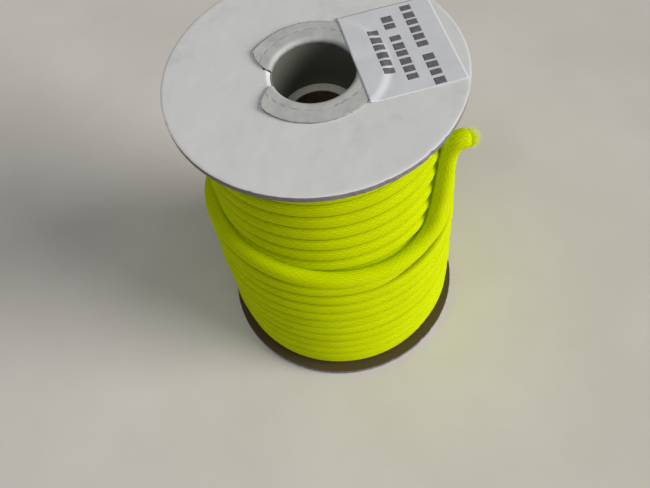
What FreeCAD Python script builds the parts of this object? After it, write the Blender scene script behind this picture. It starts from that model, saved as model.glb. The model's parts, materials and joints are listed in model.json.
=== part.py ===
"""Flanged paper spool wound with braided utility cord.  Millimetres, +Z up along the spool axis.

The spool stands on its lower flange.  The origin is on the axis, level with the lowest face.
Every physical piece is a solid of its own and is written to parts/NAME.step.
"""
import FreeCAD, Part
import math
import os

Vector = FreeCAD.Vector

# ---- driving dimensions: spool ----
FLANGE_RADIUS = 38.1
BOARD_THICKNESS = 1.7
FACING_THICKNESS = 0.3
TRAVERSE = 97.6              # clear height between the flanges
LIP_THICKNESS = 0.5          # flared sleeve paper that grips a flange
LIP_RADIUS = 17.1
LIP_ROLL_RADIUS = 0.4        # soft edge where the lip turns into the mouth
SLEEVE_BORE_RADIUS = 10.5
SLEEVE_WALL = 0.8
SLEEVE_DEPTH = 15.8          # from the lip's face down to the inner tube
INNER_TUBE_BORE_RADIUS = 8.2

# the lip is slit into two petals; each one is (from, to) in degrees about +Z
PETALS = ((20.0, 150.0), (215.5, 350.0))

# ---- driving dimensions: cord ----
CORD_DIAMETER = 4.76         # 3/16 in
LAYER_PITCH = 4.0            # radial step, as each layer settles into the one below
FIRST_LAYER_RADIUS = 18.5    # centre of the innermost turns
FULL_LAYERS = 4              # layers that reach from flange to flange
LAYER_HALF_THICKNESS = 2.1
OUTER_LAYER_SKIN = 36.4      # outside of the part layer that lies over them
OUTER_LAYER_TOP = 54.0       # its upper shoulder
NESTING = 1.0                # how far a layer's mean surface lies below its ridges
RISER_SPAN = (338.0, 352.0)  # where the top turn lifts off the shoulder, degrees

# ---- driving dimensions: tape and label ----
TAPE_THICKNESS = 0.2
TAPE_WIDTH = 20.0
TAPE_ARC = 70.0              # degrees round the barrel
TAPE_FOOT = 1.5              # above the lower flange
LABEL_THICKNESS = 0.12
LABEL_NEAR = 10.6            # distance of its inner edge from the axis
LABEL_FAR = 34.4
LABEL_HALF_LENGTH = 15.4
LABEL_TURN = 8.3             # degrees that its inner edge is turned about +Z
LABEL_RAMP = 2.4             # radial length of its slope from the lip down to the facing

# The last stretch of cord is not packed: it goes once round the winding, climbs and
# folds out below the upper flange.  Each point is (azimuth in degrees, radius, height).
LAST_TURN_ROUTE = (
    (-8.0, 34.4, 61.4),
    (2.0, 34.93, 61.4),
    (20.0, 35.0, 62.2),
    (40.0, 35.0, 62.6),
    (60.0, 35.0, 62.6),
    (80.0, 35.0, 62.3),
    (100.0, 34.9, 61.9),
    (120.0, 34.9, 61.4),
    (140.0, 34.8, 60.8),
    (158.0, 34.7, 60.1),
    (172.0, 34.6, 60.0),
    (183.0, 34.6, 60.9),
    (195.0, 34.6, 62.5),
    (209.0, 34.7, 62.4),
    (226.0, 34.9, 61.2),
    (247.0, 35.0, 59.5),
    (269.0, 35.1, 58.0),
    (291.0, 35.1, 56.8),
    (308.0, 34.9, 56.9),
    (319.5, 34.8, 59.6),
    (325.0, 34.7, 66.0),
    (328.0, 34.8, 72.8),
    (331.0, 34.9, 77.6),
    (333.2, 34.8, 81.6),
    (335.0, 35.7, 83.7),
    (336.9, 37.2, 85.1),
    (339.0, 39.3, 85.6),
)
ARC_SHARE = 0.45             # of the shorter run, taken by the arc at each point
FRAYED_LENGTH = 4.2
FRAYED_TIP_RADIUS = 1.5

# ---- derived dimensions ----
CORD_RADIUS = CORD_DIAMETER / 2
FLANGE_THICKNESS = BOARD_THICKNESS + FACING_THICKNESS
LOWER_FACE = LIP_THICKNESS
LOWER_INNER = LOWER_FACE + FLANGE_THICKNESS
UPPER_INNER = LOWER_INNER + TRAVERSE
UPPER_FACE = UPPER_INNER + FLANGE_THICKNESS
TOTAL_HEIGHT = UPPER_FACE + LIP_THICKNESS
SLEEVE_OUTER_RADIUS = SLEEVE_BORE_RADIUS + SLEEVE_WALL
FULL_LAYER_SKIN = FIRST_LAYER_RADIUS + (FULL_LAYERS - 1) * LAYER_PITCH + LAYER_HALF_THICKNESS - NESTING
BARREL_RADIUS = FIRST_LAYER_RADIUS - LAYER_HALF_THICKNESS - TAPE_THICKNESS
WINDING_BORE_RADIUS = BARREL_RADIUS + TAPE_THICKNESS
UP = Vector(0, 0, 1)
CENTRE = Vector(0, 0, 0)


def ring(inner, outer, low, high):
    """A flat ring or tube about the axis."""
    body = Part.makeCylinder(outer, high - low, Vector(0, 0, low))
    hole = Part.makeCylinder(inner, high - low, Vector(0, 0, low))
    return body.cut(hole)


def sector(inner, outer, low, high, start, end):
    """The piece of a ring between two azimuths, in degrees."""
    body = Part.makeCylinder(outer, high - low, Vector(0, 0, low), UP, end - start)
    hole = Part.makeCylinder(inner, high - low, Vector(0, 0, low), UP, end - start)
    piece = body.cut(hole)
    piece.rotate(CENTRE, UP, start)
    return piece


def revolved(outline, start=0.0, sweep=360.0):
    """Turn a closed outline of (radius, height) points about the axis."""
    points = [Vector(radius, 0, height) for radius, height in outline]
    points.append(points[0])
    piece = Part.Face(Part.makePolygon(points)).revolve(CENTRE, UP, sweep)
    piece.rotate(CENTRE, UP, start)
    return piece


def mirrored(shape):
    """The same piece at the other end of the spool."""
    return shape.mirror(Vector(0, 0, TOTAL_HEIGHT / 2), UP)


def on_cylinder(azimuth, radius, height):
    angle = math.radians(azimuth)
    return Vector(radius * math.cos(angle), radius * math.sin(angle), height)


# ---- spool body ----
def barrel_tube():
    """Thick spiral-wound tube that carries the cord, held between the two boards."""
    return ring(SLEEVE_OUTER_RADIUS, BARREL_RADIUS, LOWER_INNER, UPPER_INNER)


def core_tube():
    """Inner tube between the two sleeves; its end is the ledge seen down the mouth."""
    return ring(INNER_TUBE_BORE_RADIUS, SLEEVE_OUTER_RADIUS, SLEEVE_DEPTH, TOTAL_HEIGHT - SLEEVE_DEPTH)


def top_flange_board():
    return ring(SLEEVE_OUTER_RADIUS, FLANGE_RADIUS, UPPER_INNER, UPPER_INNER + BOARD_THICKNESS)


def top_flange_facing():
    return ring(SLEEVE_OUTER_RADIUS, FLANGE_RADIUS, UPPER_FACE - FACING_THICKNESS, UPPER_FACE)


def top_sleeve():
    """Paper ferrule: a stem inside the barrel and a lip slit into petals over the flange."""
    sleeve = ring(SLEEVE_BORE_RADIUS, SLEEVE_OUTER_RADIUS, TOTAL_HEIGHT - SLEEVE_DEPTH, UPPER_FACE)
    roll = LIP_ROLL_RADIUS
    for start, end in PETALS:
        outline = (
            (SLEEVE_BORE_RADIUS, UPPER_FACE),
            (LIP_RADIUS, UPPER_FACE),
            (LIP_RADIUS, TOTAL_HEIGHT),
            (SLEEVE_BORE_RADIUS + roll, TOTAL_HEIGHT),
            (SLEEVE_BORE_RADIUS, TOTAL_HEIGHT - roll),
        )
        sleeve = sleeve.fuse(revolved(outline, start, end - start))
    return sleeve.removeSplitter()


# ---- label and tape ----
def product_label():
    """Thin adhesive label that bridges the step from the lip down to the facing."""
    lip_top = TOTAL_HEIGHT
    face_top = UPPER_FACE
    foot = LIP_RADIUS + LABEL_RAMP
    skin = (
        (LABEL_NEAR, lip_top),
        (LIP_RADIUS, lip_top),
        (foot, face_top),
        (FLANGE_RADIUS, face_top),
        (FLANGE_RADIUS, face_top + LABEL_THICKNESS),
        (foot, face_top + LABEL_THICKNESS),
        (LIP_RADIUS, lip_top + LABEL_THICKNESS),
        (LABEL_NEAR, lip_top + LABEL_THICKNESS),
    )
    width = LABEL_FAR - LABEL_NEAR
    length = 2 * LABEL_HALF_LENGTH
    corner = Vector(LABEL_NEAR, -LABEL_HALF_LENGTH, face_top - LIP_THICKNESS)
    sheet = Part.makeBox(width, length, 3 * LIP_THICKNESS, corner)
    sheet.rotate(CENTRE, UP, LABEL_TURN)
    return revolved(skin).common(sheet)


def start_tape():
    """Tape that holds the cord's first end against the barrel."""
    low = LOWER_INNER + TAPE_FOOT
    return sector(BARREL_RADIUS, WINDING_BORE_RADIUS, low, low + TAPE_WIDTH, 0, TAPE_ARC)


# ---- cord ----
def cord_winding():
    """Outer shape of the packed turns: full layers, a part layer and the turn that lifts off it."""
    outline = (
        (WINDING_BORE_RADIUS, LOWER_INNER),
        (OUTER_LAYER_SKIN, LOWER_INNER),
        (OUTER_LAYER_SKIN, OUTER_LAYER_TOP),
        (FULL_LAYER_SKIN, OUTER_LAYER_TOP),
        (FULL_LAYER_SKIN, UPPER_INNER),
        (WINDING_BORE_RADIUS, UPPER_INNER),
    )
    start, end = RISER_SPAN
    _, _, loose_height = LAST_TURN_ROUTE[0]
    riser_top = loose_height + CORD_RADIUS
    riser = sector(FULL_LAYER_SKIN, OUTER_LAYER_SKIN, OUTER_LAYER_TOP, riser_top, start, end)
    return revolved(outline).fuse(riser).removeSplitter()


def rounded_path(points):
    """Straight runs joined by tangent arcs, as one wire; returns it with the arcs' radii."""
    edges = []
    radii = []
    place = points[0]
    for before, corner, after in zip(points, points[1:], points[2:]):
        back = before - corner
        ahead = after - corner
        half_turn = (math.pi - back.getAngle(ahead)) / 2
        reach = ARC_SHARE * min(back.Length, ahead.Length)
        radius = reach / math.tan(half_turn)
        back.normalize()
        ahead.normalize()
        inward = (back + ahead).normalize()
        entry = corner + back * reach
        leave = corner + ahead * reach
        middle = corner + inward * (radius / math.cos(half_turn) - radius)
        edges.append(Part.LineSegment(place, entry).toShape())
        edges.append(Part.Arc(entry, middle, leave).toShape())
        radii.append(radius)
        place = leave
    edges.append(Part.LineSegment(place, points[-1]).toShape())
    return Part.Wire(edges), radii


def cord_last_turn():
    """The loose last turn, its climb and its fold, as a round tube."""
    points = [on_cylinder(*point) for point in LAST_TURN_ROUTE]
    path, radii = rounded_path(points)
    heading = (points[1] - points[0]).normalize()
    section = Part.Wire(Part.makeCircle(CORD_RADIUS, points[0], heading))
    tube = path.makePipeShell([section], True, True)
    runs = [(b - a).Length for a, b in zip(points, points[1:])]
    print("loose cord length", round(path.Length, 1), "control runs", [round(run, 1) for run in runs])
    print("bend radii", [round(radius, 1) for radius in radii])
    expected = math.pi * CORD_RADIUS ** 2 * path.Length
    print("tube volume / section x length", round(tube.Volume / expected, 4))
    return tube


def cord_frayed_end():
    """The unsealed end of the cord, where the braid opens into a short tuft."""
    points = [on_cylinder(*point) for point in LAST_TURN_ROUTE[-2:]]
    heading = (points[1] - points[0]).normalize()
    return Part.makeCone(CORD_RADIUS, FRAYED_TIP_RADIUS, FRAYED_LENGTH, points[1], heading)


def all_parts():
    """Every node of the spool by name."""
    upper_sleeve = top_sleeve()
    upper_board = top_flange_board()
    upper_facing = top_flange_facing()
    return {
        "barrel_tube": barrel_tube(),
        "core_tube": core_tube(),
        "top_flange_board": upper_board,
        "bottom_flange_board": mirrored(upper_board),
        "top_flange_facing": upper_facing,
        "bottom_flange_facing": mirrored(upper_facing),
        "top_sleeve": upper_sleeve,
        "bottom_sleeve": mirrored(upper_sleeve),
        "product_label": product_label(),
        "start_tape": start_tape(),
        "cord_winding": cord_winding(),
        "cord_last_turn": cord_last_turn(),
        "cord_frayed_end": cord_frayed_end(),
    }


os.makedirs("parts", exist_ok=True)
for name, shape in all_parts().items():
    solids = shape.Solids
    print(name, "solids", len(solids), "valid", shape.isValid(), "volume", round(shape.Volume, 1))
    shape = solids[0] if len(solids) == 1 else shape
    shape.exportStep("parts/" + name + ".step")
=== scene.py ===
"""Looks of a paperboard spool wound with neon braided cord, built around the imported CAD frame."""
import json
import math

import bpy
import numpy as np
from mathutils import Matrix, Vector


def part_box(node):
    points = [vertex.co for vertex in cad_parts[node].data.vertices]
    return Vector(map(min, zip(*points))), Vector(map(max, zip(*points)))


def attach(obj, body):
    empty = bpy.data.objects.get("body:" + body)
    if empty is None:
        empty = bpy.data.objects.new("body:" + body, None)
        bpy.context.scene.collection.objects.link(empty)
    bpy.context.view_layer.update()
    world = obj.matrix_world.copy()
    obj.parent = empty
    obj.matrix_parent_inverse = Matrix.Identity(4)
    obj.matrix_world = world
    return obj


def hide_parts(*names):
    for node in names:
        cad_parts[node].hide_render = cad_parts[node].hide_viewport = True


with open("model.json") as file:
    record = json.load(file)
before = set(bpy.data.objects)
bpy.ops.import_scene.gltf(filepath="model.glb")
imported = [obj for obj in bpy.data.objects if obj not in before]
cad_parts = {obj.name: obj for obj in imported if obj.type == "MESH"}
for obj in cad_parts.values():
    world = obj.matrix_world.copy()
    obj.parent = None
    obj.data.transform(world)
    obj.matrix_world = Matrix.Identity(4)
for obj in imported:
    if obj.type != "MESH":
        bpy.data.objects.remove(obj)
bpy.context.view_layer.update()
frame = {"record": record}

MM = 0.001
TURN = 2 * math.pi
BODY = "root"
RNG = np.random.default_rng(16)


# ---- sizes read from the frame
def mount_radius(name):
    found = next(m for m in frame["record"]["mounts"] if m["name"] == name)
    return found["dims"]["r_mm"] * MM


facing_low, facing_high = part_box("top_flange_facing")
board_low, board_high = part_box("top_flange_board")
sleeve_low, sleeve_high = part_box("top_sleeve")
core_low, core_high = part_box("core_tube")
label_low, label_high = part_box("product_label")

FLANGE_RADIUS = board_high[0]
LIP_RADIUS = sleeve_high[1]
MOUTH_RADIUS = mount_radius("top_socket")
SPINDLE_RADIUS = mount_radius("spindle_bore")
STEM_RADIUS = core_high[0]
HEIGHT = sleeve_high[2]
LIP_THICKNESS = HEIGHT - facing_high[2]
FACING_THICKNESS = facing_high[2] - facing_low[2]
BOARD_THICKNESS = board_high[2] - board_low[2]
UPPER_INNER = board_low[2]
LOWER_INNER = HEIGHT - UPPER_INNER
LEDGE = core_high[2]
LABEL_THICKNESS = label_high[2] - HEIGHT


# ---- camera
CAMERA_PLACE = (0.0, -131.99 * MM, 231.5 * MM)
CAMERA_YAW = -1.945
CAMERA_PITCH = 57.68          # below the horizontal
CAMERA_ROLL = -9.82
CAMERA_LENS = 40.7            # for a 36 mm sensor


def linked(name, data):
    made = bpy.data.objects.new(name, data)
    bpy.context.collection.objects.link(made)
    return made


def put(name, data, axes, place):
    """An object whose own x, y and z run along the given axes."""
    matrix = np.eye(4)
    matrix[:3, :3] = np.column_stack(axes)
    matrix[:3, 3] = place
    made = linked(name, data)
    made.matrix_world = matrix.T.tolist()
    return made


def make_camera():
    yaw, pitch, roll = (math.radians(a) for a in (CAMERA_YAW, CAMERA_PITCH, CAMERA_ROLL))
    ahead = np.array((math.sin(yaw) * math.cos(pitch), math.cos(yaw) * math.cos(pitch), -math.sin(pitch)))
    level = np.array((math.cos(yaw), -math.sin(yaw), 0.0))
    above = np.cross(level, ahead)
    right = math.cos(roll) * level + math.sin(roll) * above
    up = math.cos(roll) * above - math.sin(roll) * level
    data = bpy.data.cameras.new("camera")
    data.lens = CAMERA_LENS
    data.clip_start = 0.01
    bpy.context.scene.camera = put("camera", data, (right, up, -ahead), CAMERA_PLACE)


# ---- cord: route
CORD_DIAMETER = 4.76 * MM
POINTS_PER_TURN = 20
COIL_START = -0.25            # in turns, counted from the back of the spool
COIL_END = -0.39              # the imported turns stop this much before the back
CROSSING_SHARE = 0.5          # share of a turn over which the cord steps to the next row
FULL_LAYERS = (               # (radius, turns) from the barrel outwards
    (18.5 * MM, 21),
    (22.5 * MM, 21),
    (26.5 * MM, 21),
    (30.5 * MM, 19),
)
END_TURN_GAP = 2.35 * MM      # from a flange to the middle of the turn beside it
OUTER_TURNS = 11
OUTER_RADIUS = 34.4 * MM
OUTER_FIRST_HEIGHT = 5.9 * MM
OUTER_FIRST_PITCH = 4.45 * MM
OUTER_PITCH_GROWTH = 0.035 * MM
FIRST_TURN_SQUEEZE = 1.0 * MM
SAG = 1.5 * MM                # tilt of the highest packed turns
SAG_AZIMUTH = math.radians(165)
UNEVENNESS = 0.16 * MM

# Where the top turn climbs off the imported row: (azimuth in degrees, radius, height).
LIFT_OFF_ROUTE = (
    (-38.0, 0.0344, 0.0543),
    (-28.0, 0.0345, 0.0562),
    (-18.0, 0.0345, 0.0588),
)
# The stretch that isn't packed, in the same terms; its fold is a little tighter than in the frame.
LAST_TURN_ROUTE = (
    (-8.0, 0.0344, 0.0614),
    (2.0, 0.03493, 0.0614),
    (20.0, 0.0350, 0.0622),
    (40.0, 0.0350, 0.0626),
    (60.0, 0.0350, 0.0626),
    (80.0, 0.0350, 0.0623),
    (100.0, 0.0349, 0.0619),
    (120.0, 0.0349, 0.0614),
    (140.0, 0.0348, 0.0608),
    (158.0, 0.0347, 0.0601),
    (172.0, 0.0346, 0.0600),
    (183.0, 0.0346, 0.0609),
    (195.0, 0.0346, 0.0625),
    (209.0, 0.0347, 0.0624),
    (226.0, 0.0349, 0.0612),
    (247.0, 0.0350, 0.0595),
    (269.0, 0.0351, 0.0580),
    (291.0, 0.0351, 0.0568),
    (308.0, 0.0349, 0.0569),
    (319.5, 0.0348, 0.0596),
    (325.0, 0.0347, 0.0660),
    (328.0, 0.0348, 0.0728),
    (331.0, 0.0349, 0.0776),
    (333.2, 0.0348, 0.0816),
    (334.6, 0.0355, 0.0846),
    (336.2, 0.0369, 0.0864),
    (338.6, 0.0393, 0.0853),
)


def cylindrical(radius, azimuth, height):
    return np.stack((radius * np.cos(azimuth), radius * np.sin(azimuth), height), axis=-1)


def smooth_step(x):
    x = np.clip(x, 0.0, 1.0)
    return x * x * (3 - 2 * x)


def wander(turns, seed, size):
    """A slow, repeatable unevenness, as a sum of unrelated waves."""
    waves = ((0.37, 1.0), (0.83, 0.6), (1.61, 0.5), (2.9, 0.3))
    total = sum(share * np.sin(TURN * (turns * rate + seed * (1.7 + rate))) for rate, share in waves)
    return size * total


def turn_rows():
    """(radius, height, sag) of every packed turn, in winding order."""
    low = LOWER_INNER + END_TURN_GAP
    high = UPPER_INNER - END_TURN_GAP
    rows = []
    for layer, (radius, turns) in enumerate(FULL_LAYERS):
        heights = np.linspace(low, high, turns)
        if layer % 2:
            heights = heights[::-1]
        rows += [(radius, height, 0.0) for height in heights]
    for k in range(OUTER_TURNS):
        height = OUTER_FIRST_HEIGHT + OUTER_FIRST_PITCH * k + OUTER_PITCH_GROWTH * k * k
        squeeze = FIRST_TURN_SQUEEZE * math.exp(-k)
        rows.append((OUTER_RADIUS - squeeze, height, SAG * (0.3 + 0.7 * k / OUTER_TURNS)))
    return np.array(rows)


def coil_points():
    """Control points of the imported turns; between rows the cord crosses over at the back."""
    rows = turn_rows()
    count = len(rows)
    steps = int(round((count + COIL_END - COIL_START) * POINTS_PER_TURN))
    turns = np.linspace(COIL_START, count + COIL_END, steps, endpoint=False)
    place = np.clip(turns - 0.5, 0.0, count - 1.0)
    below = np.minimum(place.astype(int), count - 2)
    share = smooth_step((place - below - 0.5) / CROSSING_SHARE + 0.5)[:, None]
    radius, height, sag = (rows[below] * (1 - share) + rows[below + 1] * share).T
    azimuth = TURN * (0.25 + turns)
    height = height + sag * np.cos(azimuth - SAG_AZIMUTH)
    height = height + wander(turns, 1.0, UNEVENNESS) * (sag > 0)
    radius = radius + wander(turns, 2.0, UNEVENNESS) * (sag > 0)
    radius = radius / math.cos(math.pi / POINTS_PER_TURN)
    return cylindrical(radius, azimuth, height)


def last_turn_points():
    azimuth, radius, height = np.array(LIFT_OFF_ROUTE + LAST_TURN_ROUTE).T
    return cylindrical(radius, np.radians(azimuth), height)


def spline_points(control):
    """The smooth line of a NURBS route, read back as points."""
    data = bpy.data.curves.new("route", "CURVE")
    data.dimensions = "3D"
    data.resolution_u = 8
    spline = data.splines.new("NURBS")
    spline.points.add(len(control) - 1)
    spline.points.foreach_set("co", np.column_stack((control, np.ones(len(control)))).ravel())
    spline.order_u = 3
    spline.use_endpoint_u = True
    route = bpy.data.objects.new("route", data)
    mesh = bpy.data.meshes.new_from_object(route)
    points = np.empty(len(mesh.vertices) * 3)
    mesh.vertices.foreach_get("co", points)
    bpy.data.objects.remove(route)
    bpy.data.meshes.remove(mesh)
    bpy.data.curves.remove(data)
    return points.reshape(-1, 3)


def lengths_along(points):
    steps = np.linalg.norm(np.diff(points, axis=0), axis=1)
    return np.append(0.0, np.cumsum(steps))


def turns_along(points):
    """How many turns the route has made at each point, counted from the back."""
    azimuth = np.unwrap(np.arctan2(points[:, 1], points[:, 0]))
    return (azimuth - azimuth[0]) / TURN + COIL_START


def resampled(points, reach, marks):
    return np.stack([np.interp(marks, reach, points[:, axis]) for axis in range(3)], axis=1)


def unit(vectors):
    return vectors / np.linalg.norm(vectors, axis=-1, keepdims=True)


def full_circle(steps):
    return np.arange(steps) * TURN / steps


def blend(pair, share):
    return pair[0] + (pair[1] - pair[0]) * share


# ---- mesh helpers
def mesh_object(name, vertices, faces, material):
    mesh = bpy.data.meshes.new(name)
    mesh.from_pydata(vertices, [], faces)
    mesh.materials.append(material)
    return linked(name, mesh)


def new_object(name, vertices, faces, material, corner_uv=None):
    """A smooth-shaded piece of the spool."""
    piece = mesh_object(name, np.asarray(vertices).tolist(), faces, material)
    mesh = piece.data
    if corner_uv is not None:
        mesh.uv_layers.new(name="along").data.foreach_set("uv", corner_uv.ravel())
    mesh.polygons.foreach_set("use_smooth", np.ones(len(mesh.polygons), dtype=bool))
    mesh.update()
    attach(piece, BODY)
    return piece


def grid_faces(rows, columns, closed_rows=False, closed_columns=False):
    """Quads over a rows x columns grid of vertices."""
    row = np.arange(rows if closed_rows else rows - 1)
    column = np.arange(columns if closed_columns else columns - 1)
    row, column = (a.ravel() for a in np.meshgrid(row, column, indexing="ij"))
    next_row = (row + 1) % rows
    next_column = (column + 1) % columns
    corners = (row * columns + column, row * columns + next_column,
               next_row * columns + next_column, next_row * columns + column)
    return np.stack(corners, axis=1).tolist()


def grid_uv(along, around):
    """The (along, around) values at the corners of the quads between the given lines."""
    uv = np.empty((len(along) - 1, len(around) - 1, 4, 2))
    uv[:, :, 0:2, 0] = along[:-1, None, None]
    uv[:, :, 2:4, 0] = along[1:, None, None]
    uv[:, :, 0::3, 1] = around[:-1, None]
    uv[:, :, 1:3, 1] = around[1:, None]
    return uv.reshape(-1, 2)


# ---- cord: surfaces
BRAID_PERIOD = 2.4 * MM       # along the cord, one over and under
BRAID_AROUND = 10             # the same, round the cord
BRAID_DEPTH = 0.05 * MM
BRAID_STEPS = 4               # mesh lines per over and under, both ways
RING_STEP = BRAID_PERIOD / BRAID_STEPS
FRONT_STEPS = 12              # fine steps to each side of a packed turn's outward line
BACK_STEPS = 8
PACKED_HALF_OUT = 2.2 * MM    # half thickness of a packed turn, towards the axis
UPPER_TURNS_SEEN = 11         # of the last full layer, above the part layer
UPPER_HALF_SIDE = 2.54 * MM
OUTER_HALF_SIDE = 2.42 * MM
PACKED_SQUARENESS = 2.1       # exponent of their section, where 2 is an ellipse
CORE_INSET = 0.35 * MM        # core below the braided cover
CORE_STEP = 4.5 * MM
CORE_LOOSE_STEP = 1.2 * MM
CORE_SIDES = 12
SWELL = 0.012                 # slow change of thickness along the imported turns
SWELL_LENGTH = 90 * MM
COVER_OVERLAP = 0.02          # in turns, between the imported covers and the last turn's
# The last turn's section where it lies on the winding, and where it is free of it.
LOOSE_HALF_OUT = (2.2 * MM, 2.4 * MM)
LOOSE_HALF_SIDE = (2.38 * MM, 2.32 * MM)
LOOSE_SQUARENESS = (2.25, 2.0)
FREE_FROM = 70 * MM           # from the tip to where it starts to come free
FREE_OVER = 40 * MM
FLARE = 0.16                  # widening towards the cut end
FLARE_FROM = 9 * MM
FLARE_OVER = 8 * MM
TIP_CLOSING = 0.45            # and closing at the very tip
TIP_OVER = 1.6 * MM


def radial_axes(points):
    """Outward and side directions across a route, outward being away from the spool's axis."""
    tangent = unit(np.gradient(points, axis=0))
    outward = points * (1.0, 1.0, 0.0)
    outward = unit(outward - tangent * (outward * tangent).sum(axis=1, keepdims=True))
    return outward, np.cross(tangent, outward)


def carried_axes(points, start=0):
    """The same up to a point, then carried along without twist."""
    tangent = unit(np.gradient(points, axis=0))
    outward, _ = radial_axes(points)
    for i in range(start + 1, len(points)):
        outward[i] = unit(outward[i - 1] - tangent[i] * outward[i - 1].dot(tangent[i]))
    return outward, np.cross(tangent, outward)


def section(angles, squareness):
    """Unit section of a tube: outward and sideways parts at each angle."""
    power = 2 / np.asarray(squareness)[..., None]
    return [np.sign(part) * np.abs(part) ** power for part in (np.cos(angles), np.sin(angles))]


def tube_rings(points, axes, half_out, half_side, angles, squareness, relief=0.0):
    """Rings of vertices about the points; angle 0 looks outward."""
    outward, side = axes
    out_part, side_part = section(angles, squareness)
    out = half_out[:, None] * out_part + relief * np.cos(angles)
    across = half_side[:, None] * side_part + relief * np.sin(angles)
    return points[:, None] + outward[:, None] * out[..., None] + side[:, None] * across[..., None]


def braid_relief(marks, angles, fade=1.0):
    along = np.cos(TURN * marks / BRAID_PERIOD)[:, None]
    return BRAID_DEPTH * along * np.cos(BRAID_AROUND * angles) * fade


def tube_piece(name, rings, material, marks, angles):
    """A closed tube from rings of vertices, with a middle vertex at each end."""
    count, around = rings.shape[:2]
    ends = np.stack((rings[0].mean(axis=0), rings[-1].mean(axis=0)))
    first = count * around
    base = first - around
    start = [(first, (j + 1) % around, j) for j in range(around)]
    finish = [(first + 1, base + j, base + (j + 1) % around) for j in range(around)]
    faces = grid_faces(count, around, closed_columns=True) + start + finish
    lines = np.append(angles, angles[0] + TURN) * BRAID_AROUND / TURN
    uv = grid_uv(marks / BRAID_PERIOD, lines)
    uv = np.concatenate((uv, np.zeros((6 * around, 2))))
    return new_object(name, np.concatenate((rings.reshape(-1, 3), ends)), faces, material, corner_uv=uv)


def front_angles():
    """Fine steps over the outward side, where the braid shows, and coarse ones behind."""
    step = TURN / BRAID_AROUND / BRAID_STEPS
    front = np.arange(-FRONT_STEPS, FRONT_STEPS + 1) * step
    behind = np.linspace(front[-1], TURN + front[0], BACK_STEPS)[1:-1]
    angles = np.append(front, behind)
    return angles, smooth_step((np.cos(angles) + 0.4) / 0.4)


def packed_cover(name, line, reach, turns, span, half_side, material):
    """The braided outside of packed turns, over a span counted in turns."""
    start, end = np.interp(span, turns, reach)
    marks = np.arange(start, end + RING_STEP, RING_STEP)
    points = resampled(line, reach, marks)
    angles, fade = front_angles()
    swell = 1 + wander(marks / SWELL_LENGTH, 3.0, SWELL)
    rings = tube_rings(points, radial_axes(points), PACKED_HALF_OUT * swell, half_side * swell, angles,
                       PACKED_SQUARENESS, braid_relief(marks, angles, fade))
    return tube_piece(name, rings, material, marks, angles)


def loose_cover(name, line, reach, start, material):
    """The braided outside of the last turn, round where nothing presses on it."""
    marks = np.arange(start, reach[-1], RING_STEP)
    points = resampled(line, reach, marks)
    angles = full_circle(BRAID_STEPS * BRAID_AROUND)
    left = reach[-1] - marks
    free = smooth_step((FREE_FROM - left) / FREE_OVER)
    flare = 1 + FLARE * smooth_step((FLARE_FROM - left) / FLARE_OVER)
    flare -= TIP_CLOSING * smooth_step(1 - left / TIP_OVER)
    rings = tube_rings(points, carried_axes(points), blend(LOOSE_HALF_OUT, free) * flare,
                       blend(LOOSE_HALF_SIDE, free) * flare, angles, blend(LOOSE_SQUARENESS, free),
                       braid_relief(marks, angles))
    return tube_piece(name, rings, material, marks, angles)


def whole_core(name, line, reach, loose_start, covered, material):
    """The whole cord as one tube from end to end, thinner where a braided cover lies over it."""
    packed = np.arange(0.0, loose_start, CORE_STEP)
    loose = np.arange(loose_start, reach[-1], CORE_LOOSE_STEP)
    marks = np.append(packed, loose)
    points = resampled(line, reach, marks)
    inset = np.zeros_like(marks)
    for start, end in covered:
        inset[(marks > start - CORE_STEP) & (marks < end + CORE_STEP)] = CORE_INSET
    half_side = CORD_DIAMETER / 2 - inset
    half_out = PACKED_HALF_OUT - inset
    angles = full_circle(CORE_SIDES)
    rings = tube_rings(points, carried_axes(points, len(packed)), half_out, half_side, angles, 2.0)
    return tube_piece(name, rings, material, marks, angles)


# ---- frayed end
FIBRE_COUNT = 420
FIBRE_RADIUS = 0.075 * MM
FIBRE_LENGTH = (2.4 * MM, 4.2 * MM)
FIBRE_SPREAD = 0.17
FIBRE_STRAY = 0.07
FIBRE_LEAN = 0.6              # share of the spread that a fibre's root has
FIBRE_BEND = 0.3              # and the share that it gains by bending
FIBRE_CURL = 1.3 * FIBRE_STRAY
FIBRE_SHARE = (1.15, 0.80)    # of its length, in the middle and at the outside of the tuft
FIBRE_ROOT = 1.5 * MM         # how deep the roots are in the cord's end
FIBRE_ROOT_REACH = 0.45 * CORD_DIAMETER
FIBRE_TAPER = 0.7
FIBRE_ASIDE = (0.3, 0.2, 1.0)
FIBRE_STEPS = 6
FIBRE_SIDES = 4
TIP_POINTS = 12               # of the route, that give the cut end's direction


def fibres(name, roots, headings, lengths, bends, material):
    """Many thin curved hairs as one piece, each a closed tapering tube."""
    vertices = []
    faces = []
    angles = full_circle(FIBRE_SIDES)
    shares = np.linspace(0.0, 1.0, FIBRE_STEPS)
    for root, heading, length, bend in zip(roots, headings, lengths, bends):
        side = unit(np.cross(heading, FIBRE_ASIDE))
        other = np.cross(heading, side)
        base = len(vertices)
        for share in shares:
            middle = root + heading * length * share + bend * length * share ** 2
            thickness = FIBRE_RADIUS * (1.0 - FIBRE_TAPER * share ** 2)
            for angle in angles:
                vertices.append(middle + thickness * (side * math.cos(angle) + other * math.sin(angle)))
        grid = grid_faces(FIBRE_STEPS, FIBRE_SIDES, closed_columns=True)
        faces += [[corner + base for corner in face] for face in grid]
        last = base + (FIBRE_STEPS - 1) * FIBRE_SIDES
        faces.append([base + j for j in reversed(range(FIBRE_SIDES))])
        faces.append([last + j for j in range(FIBRE_SIDES)])
    return new_object(name, vertices, faces, material)


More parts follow.
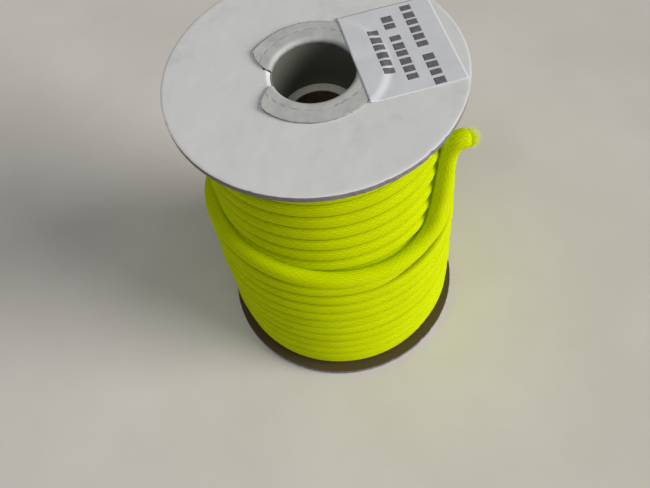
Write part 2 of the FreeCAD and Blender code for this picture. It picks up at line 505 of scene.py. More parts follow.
def frayed_tuft(line, material):
    """The unsealed end, where the braid has opened into a small brush of yarn."""
    tip = line[-1]
    heading = unit(tip - line[-TIP_POINTS])
    side = unit(np.cross(heading, (0.0, 0.0, 1.0)))
    other = np.cross(side, heading)
    around = RNG.uniform(0, TURN, FIBRE_COUNT)
    out = np.sqrt(RNG.uniform(0, 1, FIBRE_COUNT))
    across = side * np.cos(around)[:, None] + other * np.sin(around)[:, None]
    roots = tip - heading * FIBRE_ROOT + across * (out * FIBRE_ROOT_REACH)[:, None]
    lean = across * (out * FIBRE_SPREAD * RNG.uniform(0.2, 1.0, FIBRE_COUNT))[:, None]
    stray = RNG.normal(0, FIBRE_STRAY, (FIBRE_COUNT, 3))
    headings = unit(heading + lean * FIBRE_LEAN + stray)
    lengths = RNG.uniform(*FIBRE_LENGTH, FIBRE_COUNT) * blend(FIBRE_SHARE, out)
    bends = lean * FIBRE_BEND + RNG.normal(0, FIBRE_CURL, (FIBRE_COUNT, 3))
    return fibres("frayed_yarn", roots, headings, lengths, bends, material)


# ---- procedural materials
class Material:
    """A Principled material and short ways to add the nodes that drive it."""

    def __init__(self, name, roughness, specular, sheen=0.0, glow=0.0, tint=(1, 1, 1, 1)):
        self.made = bpy.data.materials.new(name)
        self.made.use_nodes = True
        self.shader = self.made.node_tree.nodes["Principled BSDF"]
        constants = {"Roughness": roughness, "Specular IOR Level": specular, "Sheen Weight": sheen,
                     "Sheen Tint": tint, "Emission Color": tint, "Emission Strength": glow}
        for socket, value in constants.items():
            self.shader.inputs[socket].default_value = value

    def node(self, kind, inputs=(), **settings):
        node = self.made.node_tree.nodes.new("ShaderNode" + kind)
        for key, value in settings.items():
            setattr(node, key, value)
        for socket, value in dict(inputs).items():
            self.feed(node.inputs[socket], value)
        return node

    def feed(self, socket, value):
        if isinstance(value, bpy.types.NodeSocket):
            self.made.node_tree.links.new(value, socket)
        else:
            socket.default_value = value

    def math(self, operation, first, second=0.0):
        return self.node("Math", {0: first, 1: second}, operation=operation).outputs[0]

    def plus(self, first, second):
        return self.math("ADD", first, second)

    def minus(self, first, second):
        return self.math("SUBTRACT", first, second)

    def times(self, first, second):
        return self.math("MULTIPLY", first, second)

    def place(self, stretch=(1, 1, 1)):
        """Position on the object in millimetres, stretched along the axes."""
        coordinates = self.node("TexCoord").outputs["Object"]
        scale = tuple(s / MM for s in stretch)
        return self.node("VectorMath", {0: coordinates, 1: scale}, operation="MULTIPLY").outputs[0]

    def noise(self, period, stretch=(1, 1, 1), detail=3.0, roughness=0.55):
        """Noise from 0 to 1 whose blotches are about a period in millimetres across."""
        inputs = {"Vector": self.place(stretch), "Scale": 1 / period,
                  "Detail": detail, "Roughness": roughness}
        return self.node("TexNoise", inputs).outputs[0]

    def span(self, value, low, high, to_low=0.0, to_high=1.0):
        """Map low..high to to_low..to_high smoothly, held at the ends."""
        inputs = {"Value": value, "From Min": low, "From Max": high, "To Min": to_low, "To Max": to_high}
        return self.node("MapRange", inputs, interpolation_type="SMOOTHSTEP").outputs[0]

    def mix(self, share, first, second):
        node = self.node("Mix", data_type="RGBA")
        for socket, value in zip((node.inputs[0], node.inputs[6], node.inputs[7]), (share, first, second)):
            self.feed(socket, value)
        return node.outputs[2]

    def bump(self, height, depth, under=None):
        inputs = {"Height": height, "Distance": depth, "Strength": 1.0}
        if under is not None:
            inputs["Normal"] = under
        return self.node("Bump", inputs).outputs[0]

    def split(self):
        """x, y, z in millimetres and the distance from the spool's axis."""
        parts = self.node("SeparateXYZ", {0: self.place()}).outputs
        squares = self.plus(self.times(parts[0], parts[0]), self.times(parts[1], parts[1]))
        return parts[0], parts[1], parts[2], self.math("SQRT", squares)

    def finish(self, colour, normal=None, roughness=None):
        self.feed(self.shader.inputs["Base Color"], colour)
        if normal is not None:
            self.feed(self.shader.inputs["Normal"], normal)
        if roughness is not None:
            self.feed(self.shader.inputs["Roughness"], roughness)
        return self.made


def tone(red, green, blue):
    """A colour in screen values from 0 to 255, as the linear values a shader takes."""
    linear = [((c / 255 + 0.055) / 1.055) ** 2.4 if c > 10 else c / 255 / 12.92 for c in (red, green, blue)]
    return (*linear, 1.0)


NEON_BRIGHT = tone(216, 234, 0)
# the next colour is painted shade in the gaps between the stitches, also the dark end of a slow random
# change of tone
NEON_PAINTED_SHADE = tone(192, 206, 0)
NEON_GLOW = 0.02
FRAYED_GLOW = 0.05            # painted glow: emission that brightens the loose fibres
PAINTED_GROOVE_SHADE = 0.55           # painted shade: brightness of a packed turn's sides, where it meets its neighbours
MIDDLE = HEIGHT / 2 / MM      # height of the spool's middle in the materials' millimetres


def neon_cord_material(name, painted_side_shade):
    """Braided neon yarn: slanted stitches in columns, fine filaments in each, painted shade between the
    stitches and at the sides.
    """
    m = Material(name, roughness=0.65, specular=0.03, sheen=0.2, glow=NEON_GLOW, tint=NEON_BRIGHT)
    along, around, _ = m.node("SeparateXYZ", {0: m.node("UVMap", uv_map="along").outputs[0]}).outputs
    columns = m.times(around, 2.0)
    column = m.math("ROUND", columns)
    odd = m.math("FLOORED_MODULO", column, 2.0)
    across = m.minus(columns, column)
    slant = m.times(m.minus(odd, 0.5), across)
    phase = m.plus(m.plus(along, m.times(odd, 0.5)), slant)
    stitch = m.minus(m.math("FRACT", m.plus(phase, 0.5)), 0.5)
    width = m.minus(1.0, m.times(m.times(across, across), 4.0))
    end = m.math("POWER", m.math("ABSOLUTE", stitch), 4.0)
    reach = m.minus(1.0, m.times(end, 16.0))
    yarn = m.math("SQRT", m.math("MAXIMUM", m.times(width, reach), 0.0))
    filament = m.math("SINE", m.times(m.plus(across, m.times(slant, 0.4)), 28.0))
    height = m.plus(yarn, m.times(filament, 0.08))
    fuzz = m.noise(0.22, detail=5.0, roughness=0.7)
    normal = m.bump(fuzz, 0.05 * MM, m.bump(height, 0.055 * MM))
    # painted shade in the gaps between stitches, times a slow random change of tone
    shade = m.times(m.span(yarn, 0.0, 0.9), m.span(m.noise(9.0), 0.3, 0.7, 0.7, 1.0))
    outward = m.math("COSINE", m.times(around, TURN / BRAID_AROUND))
    # painted shade at the sides of a packed turn, where it meets its neighbours
    painted_side_darkening = m.span(outward, 0.1, 0.8, painted_side_shade, 1.0)
    yarn_colour = m.mix(shade, NEON_PAINTED_SHADE, NEON_BRIGHT)
    return m.finish(m.mix(painted_side_darkening, (0.0, 0.0, 0.0, 1.0), yarn_colour), normal)


def frayed_material(line):
    """Loose yarn, neon at the root and bleached where the filaments spread."""
    m = Material("frayed_neon", roughness=0.7, specular=0.03, sheen=0.3, glow=FRAYED_GLOW, tint=NEON_BRIGHT)
    tip = line[-1] / MM
    offset = m.node("VectorMath", {0: m.place(), 1: tuple(tip)}, operation="DISTANCE").outputs["Value"]
    ragged = m.plus(offset, m.times(m.noise(0.8), 1.4))
    return m.finish(m.mix(m.span(ragged, 2.2, 4.4), NEON_BRIGHT, tone(224, 226, 96)),
                    m.bump(m.noise(0.15), 0.03 * MM))


def facing_material():
    """White coated paper: soft fibre, faint rubbing and smudges, a worn rim."""
    m = Material("white_facing", roughness=0.62, specular=0.35)
    _, _, _, radius = m.split()
    smudge = m.span(m.noise(13.0, detail=4.0), 0.52, 0.72)
    rub = m.span(m.noise(5.0, stretch=(1.0, 0.28, 1.0), detail=5.0, roughness=0.7), 0.60, 0.78)
    marks = m.plus(m.times(smudge, 0.5), m.times(rub, 0.3))
    paper = m.mix(marks, tone(233, 233, 231), tone(212, 211, 208))
    worn = m.plus(radius, m.times(m.noise(2.2, detail=5.0, roughness=0.75), 0.9))
    colour = m.mix(m.span(worn, 38.62, 38.78), paper, tone(150, 146, 150))
    fibre = m.bump(m.noise(0.35, detail=5.0, roughness=0.7), 0.02 * MM)
    normal = m.bump(m.noise(11.0, detail=2.0), 0.25 * MM, fibre)
    return m.finish(colour, normal, m.span(m.noise(8.0), 0.3, 0.7, 0.56, 0.7))


def board_material():
    """Grey chipboard seen on its cut edge: thin plies, fibres and darker rubbed places; dark brown on its
    inner faces, partly its own grey-brown and partly painted shade and painted brown reflected light.
    """
    m = Material("grey_board", roughness=0.9, specular=0.15)
    _, _, height, _ = m.split()
    wave = m.plus(m.times(height, 16.0), m.times(m.noise(3.0), 3.0))
    ply = m.span(m.math("SINE", wave), -0.6, 0.9)
    blotch = m.span(m.noise(2.6, detail=5.0, roughness=0.7), 0.35, 0.68)
    base = m.mix(ply, tone(134, 129, 134), tone(164, 159, 163))
    edge = m.mix(m.times(blotch, 0.55), base, tone(120, 112, 126))
    # the inner faces, towards the cord, are dark brown: partly the raw board's own grey-brown, partly
    # painted shade and painted brown reflected light
    inner_face = MIDDLE - LOWER_INNER / MM
    outward = m.math("ABSOLUTE", m.minus(height, MIDDLE))
    colour = m.mix(m.span(outward, inner_face + 0.05, inner_face + 0.25), tone(90, 78, 48), edge)
    fibre = m.bump(m.noise(0.3, detail=5.0, roughness=0.75), 0.10 * MM)
    return m.finish(colour, m.bump(ply, 0.06 * MM, fibre))


def sleeve_material():
    """Off-white paper of the lips, creased in a broken ring with painted shade along the crease, a painted
    bluish sheen and shade where it turns into the mouth, and dark where it lines the mouth.
    """
    m = Material("sleeve_paper", roughness=0.66, specular=0.3)
    _, y, height, radius = m.split()
    inward = m.minus(MIDDLE, m.math("ABSOLUTE", m.minus(height, MIDDLE)))
    ragged = m.plus(inward, m.times(m.noise(1.5, detail=4.0), 0.7))
    tint = m.mix(m.span(m.noise(4.0, detail=4.0), 0.35, 0.7), tone(205, 205, 201), tone(192, 193, 190))
    shift = m.times(m.math("DIVIDE", y, radius), -CREASE_SHIFT / MM)
    wobble = m.times(m.minus(m.noise(3.0), 0.5), 0.5)
    place = m.plus(m.plus(radius, wobble), shift)
    ring = m.math("ABSOLUTE", m.minus(place, LIP_CREASE / MM))
    line = m.span(ring, 0.10, 0.28, 1.0, 0.0)
    broken = m.span(m.noise(2.4, detail=2.0), 0.42, 0.58)
    # painted shade along the crease, broken in places
    creased = m.mix(m.times(m.times(line, broken), 0.5), tint, tone(140, 136, 128))
    worn = m.mix(m.span(m.plus(radius, m.times(m.noise(1.0), 0.5)), 17.05, 17.35),
                 creased, tone(176, 173, 166))
    # painted bluish sheen and shade in a band where the paper turns into the mouth
    bell_sheen_and_shade = m.mix(m.span(ragged, 0.5, 1.6), worn, tone(146, 149, 158))
    colour = m.mix(m.span(ragged, 1.3, 2.3), bell_sheen_and_shade, tone(100, 101, 92))
    fibre = m.bump(m.noise(0.3, detail=5.0, roughness=0.7), 0.03 * MM)
    return m.finish(colour, m.bump(m.noise(2.2), 0.10 * MM, fibre))


def core_material():
    """Cream chipboard of the inner tube, with the rings of its plies on the cut ends."""
    m = Material("core_paper", roughness=0.88, specular=0.15)
    _, _, height, radius = m.split()
    plies = m.span(m.math("SINE", m.times(radius, 15.0)), -0.4, 0.9)
    speck = m.span(m.noise(0.7, detail=4.0), 0.35, 0.7)
    uneven = m.times(m.plus(plies, speck), 0.4)
    cream = m.mix(uneven, tone(208, 204, 190), tone(174, 167, 150))
    outward = m.math("ABSOLUTE", m.minus(height, MIDDLE))
    end_face = LEDGE / MM - MIDDLE
    end = m.span(outward, end_face - 0.5, end_face - 0.15)
    kraft = m.mix(m.span(m.noise(2.0, stretch=(1.0, 1.0, 0.3), detail=4.0), 0.35, 0.7),
                  tone(104, 84, 64), tone(86, 68, 52))
    fibre = m.bump(m.noise(0.35, detail=5.0, roughness=0.7), 0.06 * MM)
    return m.finish(m.mix(end, kraft, cream), m.bump(plies, 0.04 * MM, fibre))


def kraft_material():
    """Brown spiral-wound tube: slanting seams between the wraps and long paper fibres."""
    m = Material("kraft_tube", roughness=0.85, specular=0.2)
    x, y, height, _ = m.split()
    azimuth = m.math("DIVIDE", m.math("ARCTAN2", y, x), TURN)
    wrap = m.math("FRACT", m.plus(m.math("DIVIDE", height, 42.0), azimuth))
    seam = m.span(m.math("ABSOLUTE", m.minus(wrap, 0.5)), 0.006, 0.016)
    paper = m.mix(m.span(m.noise(3.0, stretch=(1.0, 1.0, 0.4), detail=5.0), 0.3, 0.7),
                  tone(178, 146, 108), tone(158, 126, 90))
    return m.finish(m.mix(seam, tone(110, 84, 58), paper),
                    m.bump(seam, 0.15 * MM, m.bump(m.noise(0.4, detail=5.0), 0.05 * MM)))


def label_material():
    """Bluish-white label stock, a little smoother than the paper it is stuck to."""
    m = Material("label_paper", roughness=0.5, specular=0.4)
    tint = m.mix(m.span(m.noise(6.0, detail=4.0), 0.35, 0.7), tone(231, 232, 234), tone(226, 227, 231))
    ripple = m.bump(m.noise(3.2, detail=2.0), 0.05 * MM, m.bump(m.noise(0.3, detail=4.0), 0.012 * MM))
    return m.finish(tint, ripple)


def ink_material():
    """Thermal print: soft dark grey, thin in places."""
    m = Material("label_print", roughness=0.6, specular=0.25)
    thin = m.span(m.noise(0.8, detail=4.0), 0.45, 0.75)
    return m.finish(m.mix(m.times(thin, 0.5), tone(110, 110, 114), tone(156, 156, 162)),
                    m.bump(m.noise(0.25), 0.01 * MM))


def tape_material():
    """Yellowed masking tape with fine crepe across it."""
    m = Material("masking_tape", roughness=0.7, specular=0.3)
    crepe = m.noise(0.5, stretch=(1.0, 1.0, 0.2), detail=3.0)
    return m.finish(m.mix(m.span(crepe, 0.3, 0.7), tone(206, 186, 140), tone(190, 168, 120)),
                    m.bump(crepe, 0.08 * MM))


def floor_material():
    """Pale matt floor."""
    m = Material("pale_floor", roughness=0.9, specular=0.15)
    tint = m.mix(m.span(m.noise(60.0, detail=3.0), 0.3, 0.7), tone(236, 232, 225), tone(229, 224, 216))
    return m.finish(tint, m.bump(m.noise(1.2, detail=4.0), 0.04 * MM))


# ---- spool pieces
FLANGE_STEPS = 540
LIP_CREASE = 13.8 * MM        # radius of the crease in the lip
CREASE_SHIFT = 0.6 * MM       # how far its centre lies behind the axis
BELL_WIDTH = 1.3 * MM         # how far the mouth's rounding reaches into the lip
BELL_DEPTH = 1.1 * MM
BELL_STEPS = 8
LIP_STEPS = 26
PETALS = ((20.0, 150.0), (215.5, 350.0))
SLANT = 18.0                  # the cuts at the back run this much further, in degrees, at the mouth
SLANT_REACH = 40.0            # degrees of petal over which the slant dies out
PETAL_STEP = 0.8              # degrees
PAPER = 0.38 * MM             # thickness of the lip's paper
CORNER = 1.0 * MM             # rounding at the corners of a petal
WALL_REACH = 0.8 * MM         # how far a petal reaches down the wall, below the bell
PETAL_RAGGED = 0.05 * MM
PETAL_WAVE = 0.03 * MM
CREASE_DEPTH = 0.10 * MM
CREASE_WIDTH = 0.16 * MM
CURL_REACH = 3.0 * MM
CURL = 0.22 * MM              # of the upper petals, at the ends that no label holds down
STEM_TOP_GAP = 0.3 * MM       # from the bell down to the stem's end
STEM_ROUNDING = 0.2 * MM
TUBE_ROUNDING = 0.35 * MM
TUBE_CLEARANCE = 0.02 * MM    # between the inner tube and the barrel
TUBE_END_WEAR = 0.05 * MM
TUBE_STEPS = 240
BOARD_ROUNDING = 0.28 * MM
BOARD_CLEARANCE = 0.05 * MM   # between a board and the sleeve
BOARD_SETBACK = 0.03 * MM
RIM_ROUGHNESS = 0.035 * MM
MOUTH_PRESS = 0.55 * MM       # how far a board is pressed in at the mouth
MOUTH_PRESS_WIDTH = 2.0 * MM
FACING_CLEARANCE = 0.15 * MM  # between a facing's inner edge and the mouth's wall
UNDER_PETAL = 2.2 * MM        # how much earlier it ends under a petal
FACING_SETBACK = 0.04 * MM    # from the board's rim
FACING_ROUGHNESS = 0.02 * MM
FACING_WAVE = 0.03 * MM
FACING_WEAR = 0.10 * MM       # at the rim
FACING_WEAR_WIDTH = 0.5 * MM
DROOP = 1.1 * MM              # into the mouth, where no petal covers it
DROOP_WIDTH = 1.5 * MM
FACING_STEPS = ((0, 0.10, 12), (0.14, 0.98, 22), (0.985, 1, 5))   # finer at both edges
EDGE_NICKS = (                # (azimuth in degrees, width in degrees, depth) on the boards' rims
    (-52.0, 0.9, 0.26 * MM),
    (-44.0, 0.7, 0.20 * MM),
    (-71.0, 0.8, 0.14 * MM),
    (-118.0, 0.7, 0.16 * MM),
    (24.0, 0.9, 0.22 * MM),
    (131.0, 1.0, 0.20 * MM),
    (196.0, 0.8, 0.16 * MM),
)


def ring_piece(name, radius, height, angles, material, closed=True):
    """A solid swept round the axis from an outline at each angle, with the ends capped if open.

    The angles are one for each outline, or one for each of its points.
    """
    count, around = radius.shape
    angles = angles.reshape(count, -1)
    vertices = cylindrical(radius, angles, height).reshape(-1, 3)
    faces = grid_faces(count, around, closed_rows=closed, closed_columns=True)
    if not closed:
        base = (count - 1) * around
        for j in range(around // 2 - 1):
            pair = (j, j + 1, around - 2 - j, around - 1 - j)
            faces.append([pair[0], pair[3], pair[2], pair[1]])
            faces.append([base + corner for corner in pair])
    return new_object(name, vertices, faces, material)


def rounded_box(angles, inner, outer, low, high, rounding, steps=4):
    """Radii and heights of a rectangle with rounded corners, repeated at each angle."""
    radius = []
    height = []
    corners = ((outer, low, -90), (outer, high, 0), (inner, high, 90), (inner, low, 180))
    for corner_radius, corner_height, start in corners:
        middle_radius = corner_radius + rounding * (1 if corner_radius == inner else -1)
        middle_height = corner_height + rounding * (1 if corner_height == low else -1)
        for step in range(steps + 1):
            angle = math.radians(start + 90 * step / steps)
            radius.append(middle_radius + rounding * math.cos(angle))
            height.append(middle_height + rounding * math.sin(angle))
    return np.tile(radius, (len(angles), 1)), np.tile(height, (len(angles), 1))


def turned(height, upper):
    """Keep heights for the upper flange, or turn them over for the lower one."""
    return height if upper else HEIGHT - height


def outline(first, second):
    """One closed outline from its two lines, which run the same way."""
    return np.hstack((first, second[:, ::-1]))


def azimuth_noise(angles, seed, size, harmonics):
    """Repeatable unevenness round a full turn, as a column."""
    local = np.random.default_rng(seed)
    total = np.zeros_like(angles)
    for harmonic in harmonics:
        total += local.normal() * np.cos(harmonic * angles + local.uniform(0, TURN))
    return size * total[:, None] / math.sqrt(len(harmonics))


def nick_depth(angles):
    total = np.zeros_like(angles)
    for azimuth, width, depth in EDGE_NICKS:
        away = (np.degrees(angles) - azimuth + 180) % 360 - 180
        total += depth * np.exp(-(away / width) ** 2)
    return total[:, None]


def flange_board(name, upper, material):
    """A punched chipboard disc: bruised rim, soft corners, slightly uneven faces."""
    angles = full_circle(FLANGE_STEPS)
    inner = STEM_RADIUS + BOARD_CLEARANCE
    low, high = UPPER_INNER, UPPER_INNER + BOARD_THICKNESS
    radius, height = rounded_box(angles, inner, FLANGE_RADIUS, low, high, BOARD_ROUNDING)
    at_rim = smooth_step((radius - inner) / (FLANGE_RADIUS - inner) * 3 - 2)
    rough = azimuth_noise(angles, 5, RIM_ROUGHNESS, range(20, 130, 7))
    swell = np.sin(math.pi * np.clip((height - low) / BOARD_THICKNESS, 0, 1))
    bruise = nick_depth(angles) * (1 - 0.55 * swell)
    radius = radius + at_rim * (rough - bruise - BOARD_SETBACK)
    at_mouth = smooth_step((inner + MOUTH_PRESS_WIDTH - radius) / MOUTH_PRESS_WIDTH)
    pressed = at_mouth * smooth_step((height - low) / BOARD_THICKNESS * 2 - 1)
    height = height - pressed * MOUTH_PRESS
    return ring_piece(name, radius, turned(height, upper), angles, material)


def in_petal(angles, margin):
    """1 where a petal leaves the mouth, falling to 0 over a margin in degrees beside it."""
    share = np.zeros_like(angles)
    degrees = np.degrees(angles) % 360
    for start, end in PETALS:
        middle = (start + end + (SLANT if end < 180 else -SLANT)) / 2
        half = (end - start + SLANT) / 2
        away = np.abs((degrees - middle + 180) % 360 - 180) - half
        share = np.maximum(share, 1 - smooth_step(away / margin + 0.5))
    return share


def flange_facing(name, upper, material):
    """White paper over the board; where no petal covers it, it rounds down into the mouth."""
    angles = full_circle(FLANGE_STEPS)
    covered = in_petal(angles, 3.0)[:, None]
    open_edge = MOUTH_RADIUS + FACING_CLEARANCE
    inner = open_edge + covered * UNDER_PETAL
    rim = FLANGE_RADIUS - FACING_SETBACK + azimuth_noise(angles, 9, FACING_ROUGHNESS, range(14, 90, 5))
    rim = rim - 0.8 * nick_depth(angles)
    share = np.concatenate([np.linspace(*stretch) for stretch in FACING_STEPS])
    radius = inner + (rim - inner) * share
    droop = DROOP * (1 - smooth_step((radius - open_edge) / DROOP_WIDTH)) ** 2
    worn = FACING_WEAR * smooth_step((radius - rim) / FACING_WEAR_WIDTH + 1)
    waves = azimuth_noise(angles, 12, FACING_WAVE, range(2, 9)) * np.sin(math.pi * share)
    top = HEIGHT - LIP_THICKNESS - droop * (1 - covered) - worn + waves
    bottom = np.minimum(top - 0.5 * FACING_THICKNESS, HEIGHT - LIP_THICKNESS - FACING_THICKNESS)
    height = turned(outline(top, bottom), upper)
    return ring_piece(name, outline(radius, radius), height, angles, material)


def petal_outline(angles, start, end, curl_height):
    """The flared paper of one petal: up the mouth's wall, over the bell and out along the lip.

    Returns radii, heights and azimuths.
    """
    wall = [(MOUTH_RADIUS, HEIGHT - BELL_DEPTH - WALL_REACH)]
    bell = []
    for step in range(BELL_STEPS + 1):
        turn = math.pi / 2 * step / BELL_STEPS
        bell.append((MOUTH_RADIUS + BELL_WIDTH * (1 - math.cos(turn)),
                     HEIGHT - BELL_DEPTH * (1 - math.sin(turn))))
    flat = [(r, HEIGHT) for r in np.linspace(MOUTH_RADIUS + BELL_WIDTH, LIP_RADIUS, LIP_STEPS)[1:]]
    line = np.array(wall + bell + flat)
    heading = unit(np.gradient(line, axis=0))
    under = line + np.stack((heading[:, 1], -heading[:, 0]), axis=1) * PAPER
    near = np.minimum(angles - math.radians(start), math.radians(end) - angles) * LIP_RADIUS
    inset = np.clip(1 - near / CORNER, 0, 1)
    rounding = CORNER * (1 - np.sqrt(1 - inset ** 2))[:, None]
    out_share = (np.clip(line[:, 0] - MOUTH_RADIUS - BELL_WIDTH, 0, None)
                 / (LIP_RADIUS - MOUTH_RADIUS - BELL_WIDTH))[None, :]
    ragged = azimuth_noise(angles, int(start), PETAL_RAGGED, range(9, 60, 5))
    stretch = out_share ** 4 * (ragged - rounding)
    crease_radius = LIP_CREASE + CREASE_SHIFT * np.sin(angles)[:, None]
    broken = smooth_step(azimuth_noise(angles, 31 + int(start), 1.0, range(12, 44, 3)) * 0.6 + 0.6)
    crease = CREASE_DEPTH * broken * np.exp(-((line[:, 0] - crease_radius) / CREASE_WIDTH) ** 2)
    seam = math.radians(end if end < 180 else start)
    from_seam = np.abs(angles - seam) * LIP_RADIUS
    curl = curl_height * np.exp(-(from_seam / CURL_REACH) ** 2)[:, None] * out_share
    lift = azimuth_noise(angles, 77 + int(start), PETAL_WAVE, range(3, 14, 2)) * out_share
    shift = curl + lift - crease
    radius = outline(line[:, 0] + stretch, under[:, 0] + stretch)
    height = outline(line[:, 1] + shift, under[:, 1] + shift)
    side = 1 if end < 180 else -1
    fading = 1 - smooth_step(from_seam / LIP_RADIUS / math.radians(SLANT_REACH))
    slant = side * math.radians(SLANT) * fading[:, None] * (1 - out_share)
    return radius, height, angles[:, None] + outline(slant, slant)


def sleeve(name, upper, material):
    """Paper ferrule: a stem lining the mouth and two petals that grip the flange."""
    stem_top = HEIGHT - BELL_DEPTH - STEM_TOP_GAP
    curl = CURL if upper else 0.0
    angles = full_circle(TUBE_STEPS)
    radius, height = rounded_box(angles, MOUTH_RADIUS, STEM_RADIUS, LEDGE, stem_top, STEM_ROUNDING)
    parts = [ring_piece(name, radius, turned(height, upper), angles, material)]
    for start, end in PETALS:
        steps = int((end - start) / PETAL_STEP) + 1
        angles = np.radians(np.linspace(start, end, steps))
        radius, height, places = petal_outline(angles, start, end, curl)
        height = turned(np.minimum(height, HEIGHT + curl), upper)
        parts.append(ring_piece(name + "_petal", radius, height, places, material, closed=False))
    return joined(parts)


def joined(parts):
    """Join pieces into the first one."""
    with bpy.context.temp_override(active_object=parts[0], selected_editable_objects=parts):
        bpy.ops.object.join()
    return parts[0]


def inner_tube(name, material):
    """The chipboard tube whose cut end is the ledge inside the mouth."""
    angles = full_circle(TUBE_STEPS)
    outer = STEM_RADIUS - TUBE_CLEARANCE
    low = HEIGHT - LEDGE
    radius, height = rounded_box(angles, SPINDLE_RADIUS, outer, low, LEDGE, TUBE_ROUNDING, 5)
    at_end = smooth_step(np.abs(height - HEIGHT / 2) / (LEDGE - HEIGHT / 2) * 20 - 19)
    wear = np.abs(azimuth_noise(angles, 21, TUBE_END_WEAR, range(5, 40, 4)))
    height = height - at_end * wear
    return ring_piece(name, radius, height, angles, material)


# ---- label
LABEL_TURN = math.radians(8.3)
LABEL_NEAR = 10.0 * MM
LABEL_FAR = 34.4 * MM
LABEL_ENDS = (-15.0 * MM, 15.8 * MM)
LABEL_RAMP = 2.4 * MM
MARK_HEIGHT = 2.8 * MM
MARK_STEP = 2.75 * MM
MARK_WIDTHS = (2.0 * MM, 1.8 * MM, 2.2 * MM, 1.9 * MM, 2.1 * MM)
# Rows of plain blocks: distance of the row from the axis, first block's place, blocks per group.
MARK_ROWS = (
    (27.8 * MM, 14.3 * MM, (6, 4)),
    (22.1 * MM, 12.0 * MM, (2, 6)),
    (17.3 * MM, 8.0 * MM, (6,)),
)
GROUP_GAP = 1.9 * MM
MARK_GRID = (11, 9)
LABEL_GRID = (60, 80)
LABEL_LIFT = (0.10 * MM, 0.14 * MM)   # of its top face, over the facing and over the lip
DIP = 0.14 * MM               # where the label spans the gap between the petals
DIP_AZIMUTH = 5.0             # in degrees, as its width
DIP_WIDTH = 9.0
DIP_REACH = 4 * MM
RIPPLE = 0.02 * MM
RIPPLE_LENGTHS = (2.3 * MM, 4.1 * MM)
INK_LIFT = 0.03 * MM
INK_THICKNESS = 0.02 * MM


def label_height(out, along):
    """Top of the label over the lip, down its slope and along the facing."""
    radius = np.hypot(out, along)
    azimuth = np.degrees(np.arctan2(along, out) + LABEL_TURN)
    lip = smooth_step((LIP_RADIUS + LABEL_RAMP - radius) / LABEL_RAMP)
    inside = smooth_step((LIP_RADIUS + LABEL_RAMP - radius) / DIP_REACH)
    dip = DIP * np.exp(-((azimuth - DIP_AZIMUTH) / DIP_WIDTH) ** 2) * inside
    ripple = RIPPLE * np.sin(out / RIPPLE_LENGTHS[0] + 1.3 * np.sin(along / RIPPLE_LENGTHS[1]))
    return HEIGHT + blend(LABEL_LIFT, lip) - dip + (ripple - LIP_THICKNESS) * (1 - lip)


def sheet_mesh(out, along, lift, thickness):
    """Vertices and faces of a thin closed sheet over a grid in the label's own directions."""
    out, along = np.meshgrid(out, along, indexing="ij")
    rows, columns = out.shape
    top = label_height(out, along) + lift
    x = out * math.cos(LABEL_TURN) - along * math.sin(LABEL_TURN)
    y = out * math.sin(LABEL_TURN) + along * math.cos(LABEL_TURN)
    upper = np.stack((x, y, top), axis=2).reshape(-1, 3)
    lower = np.stack((x, y, top - thickness), axis=2).reshape(-1, 3)
    under = rows * columns
    sheet = grid_faces(rows, columns)
    faces = sheet + [[corner + under for corner in reversed(face)] for face in sheet]
    index = np.arange(under).reshape(rows, columns)
    border = np.concatenate((index[0, :-1], index[:-1, -1], index[-1, :0:-1], index[:0:-1, 0]))
    for here, ahead in zip(border, np.roll(border, -1)):
        faces.append([int(ahead), int(here), int(here) + under, int(ahead) + under])
    return np.concatenate((upper, lower)), faces


def label_sheet(material):
    out = np.linspace(LABEL_NEAR, LABEL_FAR, LABEL_GRID[0])
    along = np.linspace(*LABEL_ENDS, LABEL_GRID[1])
    vertices, faces = sheet_mesh(out, along, 0.0, LABEL_THICKNESS)
    return new_object("label_sheet", vertices, faces, material)


def label_marks(material):
    """Rows of plain printed blocks that stand for the label's wording."""
    vertices = []
    faces = []
    for row_place, start, groups in MARK_ROWS:
        place = start
        for group in groups:
            for k in range(group):
                width = MARK_WIDTHS[(k + group) % len(MARK_WIDTHS)]
                out = row_place + np.linspace(-0.5, 0.5, MARK_GRID[0]) * MARK_HEIGHT
                along = np.linspace(place - width, place, MARK_GRID[1])
                block, block_faces = sheet_mesh(out, along, INK_LIFT, INK_THICKNESS)
                base = len(vertices) * len(block)
                vertices.append(block)
                faces += [[corner + base for corner in face] for face in block_faces]
                place -= MARK_STEP
            place -= GROUP_GAP
    return new_object("label_marks", np.concatenate(vertices), faces, material)


# ---- floor and light
FLOOR_REACH = 2.5             # from the spool to each side of the floor
LIGHT_DISTANCE = 0.85


def make_floor(material):
    signs = ((-1, -1), (1, -1), (1, 1), (-1, 1))
    corners = [(x * FLOOR_REACH, y * FLOOR_REACH, 0.0) for x, y in signs]
    mesh_object("floor", corners, [(0, 1, 2, 3)], material)


def soft_light(name, kind, azimuth, elevation, colour, **settings):
    """A wide light that faces the middle of the spool."""
    data = bpy.data.lights.new(name, kind)
    data.color = colour
    for key, value in settings.items():
        setattr(data, key, value)
    turn, rise = math.radians(azimuth), math.radians(elevation)
    away = cylindrical(math.cos(rise), turn, math.sin(rise))
    side = unit(np.cross((0.0, 0.0, 1.0), away))
    middle = np.array((0.0, 0.0, HEIGHT / 2))
    put(name, data, (side, np.cross(away, side), away), middle + away * LIGHT_DISTANCE)


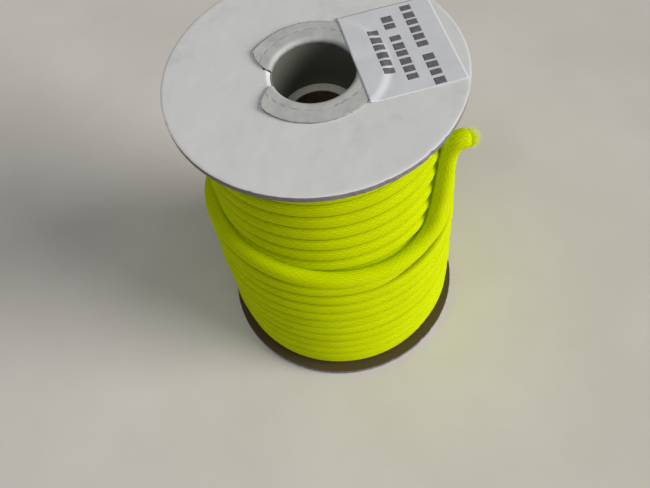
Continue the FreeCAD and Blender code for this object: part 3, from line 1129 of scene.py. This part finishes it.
def make_lights():
    soft_light("window", "SUN", azimuth=-20.0, elevation=22.0, colour=(1.0, 0.98, 0.95),
               energy=2.85, angle=math.radians(36.0))
    soft_light("ceiling", "AREA", azimuth=248.0, elevation=74.0, colour=(0.95, 0.97, 1.0),
               energy=1.6, size=0.6)
    world = bpy.data.worlds.new("studio")
    world.use_nodes = True
    background = world.node_tree.nodes["Background"]
    background.inputs["Color"].default_value = (0.95, 0.97, 1.0, 1.0)
    background.inputs["Strength"].default_value = 0.10
    bpy.context.scene.world = world


# ---- assembly
def repaint(node, material):
    """Give a carried-over CAD node its finished material."""
    for slot in bpy.data.objects[node].material_slots:
        slot.material = material


def make_cord():
    neon = neon_cord_material("neon_braid", 1.0)
    packed_neon = neon_cord_material("neon_braid_packed", PAINTED_GROOVE_SHADE)
    line = spline_points(np.concatenate((coil_points(), last_turn_points())))
    reach = lengths_along(line)
    turns = turns_along(line)
    packed_turns = sum(count for _, count in FULL_LAYERS)
    upper_start = packed_turns - FULL_LAYERS[-1][1]
    upper_end = upper_start + UPPER_TURNS_SEEN
    outer_start = packed_turns - 0.5
    outer_end = packed_turns + OUTER_TURNS + COIL_END
    loose_start = np.interp(outer_end - COVER_OVERLAP, turns, reach)
    covered = np.interp(((upper_start, upper_end), (outer_start, turns[-1])), turns, reach)
    core = whole_core("cord", line, reach, loose_start, covered, neon)
    for row, start, end, half_side in (
        ("upper_turns", upper_start, upper_end, UPPER_HALF_SIDE),
        ("outer_turns", outer_start, outer_end, OUTER_HALF_SIDE),
    ):
        seam = (start + end) // 2
        for part, span in (("_1", (start, seam)), ("_2", (seam, end))):
            packed_cover("cord_cover_" + row + part, line, reach, turns, span,
                                        half_side, packed_neon)
    loose_cover("cord_cover_last_turn", line, reach, loose_start, neon)
    tuft = frayed_tuft(line, frayed_material(line))
    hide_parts("cord_winding", "cord_last_turn")
    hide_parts("cord_frayed_end")


def make_spool():
    board = board_material()
    facing = facing_material()
    paper = sleeve_material()
    made = []
    for end, upper in (("top", True), ("bottom", False)):
        made += [
            (flange_board(end + "_board", upper, board), end + "_flange_board", "grey_board"),
            (flange_facing(end + "_facing", upper, facing), end + "_flange_facing", "white_facing"),
            (sleeve(end + "_ferrule", upper, paper), end + "_sleeve", "sleeve_paper"),
        ]
    made += [
        (inner_tube("inner_tube", core_material()), "core_tube", "core_paper"),
        (label_sheet(label_material()), "product_label", "label_paper"),
    ]
    for piece, node, slot in made:
        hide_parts(node)
    label_marks(ink_material())
    repaint("barrel_tube", kraft_material())
    repaint("start_tape", tape_material())


bpy.context.scene.view_settings.view_transform = "Standard"
make_camera()
make_cord()
make_spool()
make_floor(floor_material())
make_lights()
